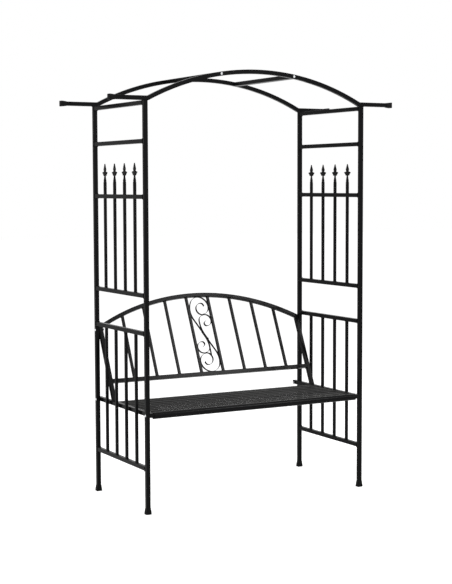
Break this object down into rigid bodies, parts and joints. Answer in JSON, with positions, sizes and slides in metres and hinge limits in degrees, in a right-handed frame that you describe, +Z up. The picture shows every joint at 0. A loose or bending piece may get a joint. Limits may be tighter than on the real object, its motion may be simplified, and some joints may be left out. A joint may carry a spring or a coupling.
{
  "type": "garden arch with bench",
  "caption": "Free-standing black metal garden arch with trellis sides, a curved open roof and a slatted bench with a leaning backrest and scroll.",
  "frame": {"origin": "on the ground plane, under the centre of the whole object's box", "axes": "+X to the right as one faces the bench, +Y to the rear, +Z up"},
  "size_m": [1.533, 0.6603, 2.0509],
  "materials": {
    "powder_coat": "satin black powder coat",
    "black_plastic": "matt moulded",
    "zinc": "bright zinc plated",
    "black_zinc": "black plated"
  },
  "bodies": {
    "root": {"post_front_left": "powder_coat", "post_rear_left": "powder_coat", "post_front_right": "powder_coat", "post_rear_right": "powder_coat", "bottom_rail_left": "powder_coat", "bottom_rail_right": "powder_coat", "arm_rail_left": "powder_coat", "arm_rail_right": "powder_coat", "trellis_rail_left": "powder_coat", "trellis_rail_right": "powder_coat", "spear_rail_left": "powder_coat", "spear_rail_right": "powder_coat", "upper_rail_left": "powder_coat", "upper_rail_right": "powder_coat", "top_rail_left": "powder_coat", "top_rail_right": "powder_coat", "lower_pickets_left": "powder_coat", "lower_pickets_right": "powder_coat", "spear_pickets_left": "powder_coat", "spear_pickets_right": "powder_coat", "spear_finials_left": "powder_coat", "spear_finials_right": "powder_coat", "overhang_bars_left": "powder_coat", "overhang_bars_right": "powder_coat", "arch_front": "powder_coat", "arch_rear": "powder_coat", "arch_spigots": "powder_coat", "bar_plugs": "powder_coat", "spigot_screws": "black_zinc", "rung_left": "powder_coat", "rung_right": "powder_coat", "rung_plugs": "zinc", "rung_bolts": "zinc", "foot_caps": "black_plastic", "overhang_caps": "black_plastic", "rail_plugs": "black_plastic", "seat_side_rail_left": "powder_coat", "seat_side_rail_right": "powder_coat", "seat_front_tube": "powder_coat", "seat_slat_1": "powder_coat", "seat_slat_2": "powder_coat", "seat_slat_3": "powder_coat", "seat_slat_4": "powder_coat", "seat_slat_5": "powder_coat", "seat_slat_6": "powder_coat", "seat_slat_7": "powder_coat", "seat_slat_8": "powder_coat", "seat_slat_9": "powder_coat", "seat_rear_bar": "powder_coat", "seat_bearer_left": "powder_coat", "seat_bearer_right": "powder_coat", "back_upright_left": "powder_coat", "back_upright_right": "powder_coat", "back_bottom_rail": "powder_coat", "back_arch": "powder_coat", "back_spindles": "powder_coat", "back_scroll": "powder_coat", "back_foot_plates": "powder_coat", "frame_bolts": "zinc", "frame_nuts": "black_zinc"}
  },
  "joints": []
}
